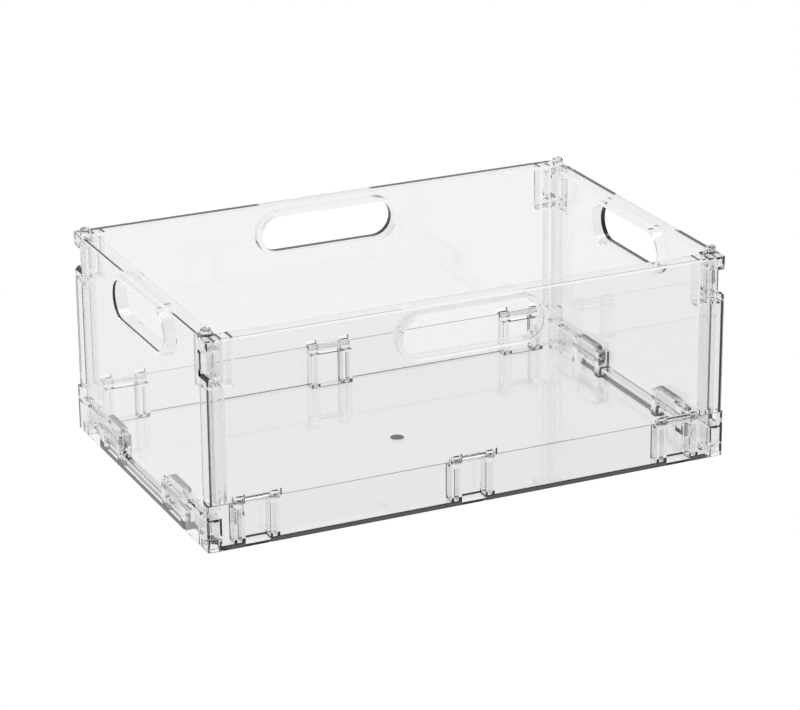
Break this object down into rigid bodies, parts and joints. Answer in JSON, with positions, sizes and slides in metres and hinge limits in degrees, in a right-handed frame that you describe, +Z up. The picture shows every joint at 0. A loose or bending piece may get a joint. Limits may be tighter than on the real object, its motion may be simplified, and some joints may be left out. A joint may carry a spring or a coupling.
{
  "type": "folding storage crate",
  "caption": "Clear acrylic storage crate, open at the top, with a slot handle in each wall, fold-flat hinged walls on a low base tray, and studs for stacking.",
  "frame": {"origin": "centre of the footprint, on the table", "axes": "+X along the long sides, +Y across from the front to the back, +Z up"},
  "size_m": [0.404, 0.26, 0.159],
  "materials": {
    "clear_acrylic": "clear, polished acrylic",
    "clear_pin": "clear, polished acrylic"
  },
  "bodies": {
    "crate": {"base_tray": "clear_acrylic", "front_wall": "clear_acrylic", "back_wall": "clear_acrylic", "front_pin_left": "clear_pin", "front_pin_middle": "clear_pin", "front_pin_right": "clear_pin", "back_pin_left": "clear_pin", "back_pin_middle": "clear_pin", "back_pin_right": "clear_pin", "left_pin_front": "clear_pin", "left_pin_back": "clear_pin", "right_pin_front": "clear_pin", "right_pin_back": "clear_pin"},
    "left_wall": {"left_wall": "clear_acrylic"},
    "right_wall": {"right_wall": "clear_acrylic"}
  },
  "joints": [
    {"name": "left_wall_fold", "type": "hinge", "parent": "crate", "child": "left_wall", "pos_m": [-0.1952, 0, 0.016], "axis": [0, 1, 0], "range_deg": [0, 90]},
    {"name": "right_wall_fold", "type": "hinge", "parent": "crate", "child": "right_wall", "pos_m": [0.1952, 0, 0.016], "axis": [0, -1, 0], "range_deg": [0, 90]}
  ]
}
